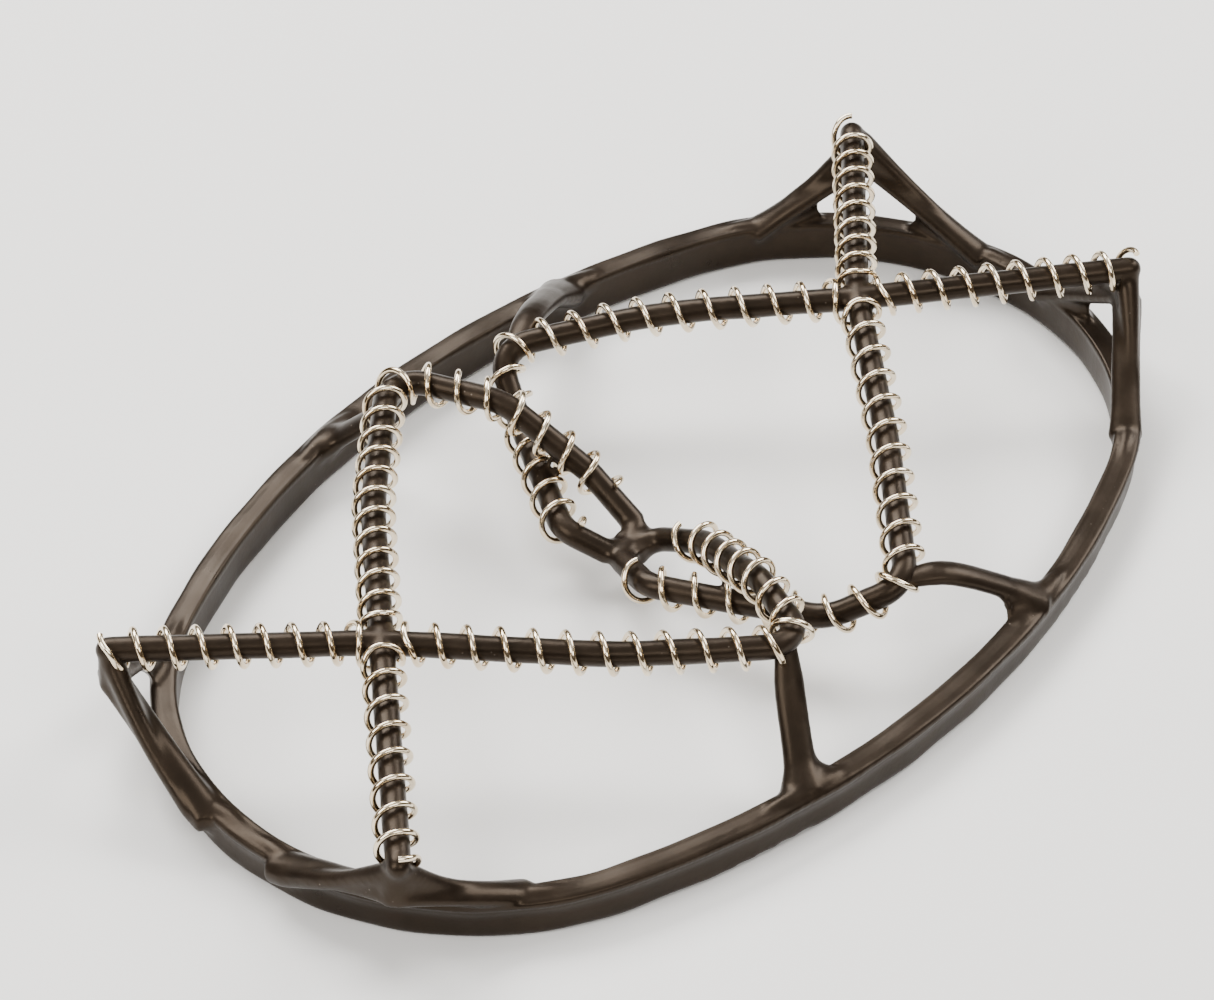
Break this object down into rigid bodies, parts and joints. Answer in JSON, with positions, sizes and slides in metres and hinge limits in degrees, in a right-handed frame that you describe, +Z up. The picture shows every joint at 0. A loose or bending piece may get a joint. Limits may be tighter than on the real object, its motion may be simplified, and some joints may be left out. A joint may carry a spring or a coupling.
{
  "type": "shoe ice cleats",
  "caption": "Oval rubber strap with a raised sole net of rubber strands threaded through steel wire coils, pulled over a shoe for grip on ice.",
  "frame": {"origin": "on the floor at the middle of the overall box, under the hub", "axes": "+X along the shoe towards the toe end, +Y across towards the shoe's left, +Z up from the floor that the band rests on; the sole net faces up"},
  "size_m": [0.2483, 0.1568, 0.0352],
  "materials": {
    "harness_rubber": "moulded natural rubber, dark brown-black, satin with dust specks",
    "coil_wire": "polished zinc-plated spring steel, warm tone"
  },
  "bodies": {
    "band": {"band_toe": "harness_rubber", "band_heel": "harness_rubber", "band_left": "harness_rubber", "band_right": "harness_rubber"},
    "net": {"heel_left_tip": "harness_rubber", "heel_left_end_branch": "harness_rubber", "heel_left_side_branch": "harness_rubber", "heel_left_outer_strand": "harness_rubber", "heel_left_inner_strand": "harness_rubber", "heel_left_corner": "harness_rubber", "heel_left_hub_strand": "harness_rubber", "heel_left_leg": "harness_rubber", "heel_right_tip": "harness_rubber", "heel_right_end_branch": "harness_rubber", "heel_right_side_branch": "harness_rubber", "heel_right_outer_strand": "harness_rubber", "heel_right_inner_strand": "harness_rubber", "heel_right_corner": "harness_rubber", "heel_right_hub_strand": "harness_rubber", "heel_right_leg": "harness_rubber", "toe_right_tip": "harness_rubber", "toe_right_end_branch": "harness_rubber", "toe_right_side_branch": "harness_rubber", "toe_right_outer_strand": "harness_rubber", "toe_right_inner_strand": "harness_rubber", "toe_right_corner": "harness_rubber", "toe_right_hub_strand": "harness_rubber", "toe_right_leg": "harness_rubber", "toe_left_tip": "harness_rubber", "toe_left_end_branch": "harness_rubber", "toe_left_side_branch": "harness_rubber", "toe_left_outer_strand": "harness_rubber", "toe_left_inner_strand": "harness_rubber", "toe_left_corner": "harness_rubber", "toe_left_hub_strand": "harness_rubber", "toe_left_leg": "harness_rubber", "heel_crossing": "harness_rubber", "toe_crossing": "harness_rubber", "hub": "harness_rubber", "heel_left_coil": "coil_wire", "heel_right_coil": "coil_wire", "toe_right_coil": "coil_wire", "toe_left_coil": "coil_wire"}
  },
  "joints": [
    {"name": "net_lift", "type": "slide", "parent": "band", "child": "net", "axis": [0, 0, 1], "range_m": [0, 0.014], "stiffness_N_per_m": 1200, "deforming": ["heel_left_end_branch", "heel_left_side_branch", "heel_left_leg", "heel_right_end_branch", "heel_right_side_branch", "heel_right_leg", "toe_right_end_branch", "toe_right_side_branch", "toe_right_leg", "toe_left_end_branch", "toe_left_side_branch", "toe_left_leg"]}
  ]
}
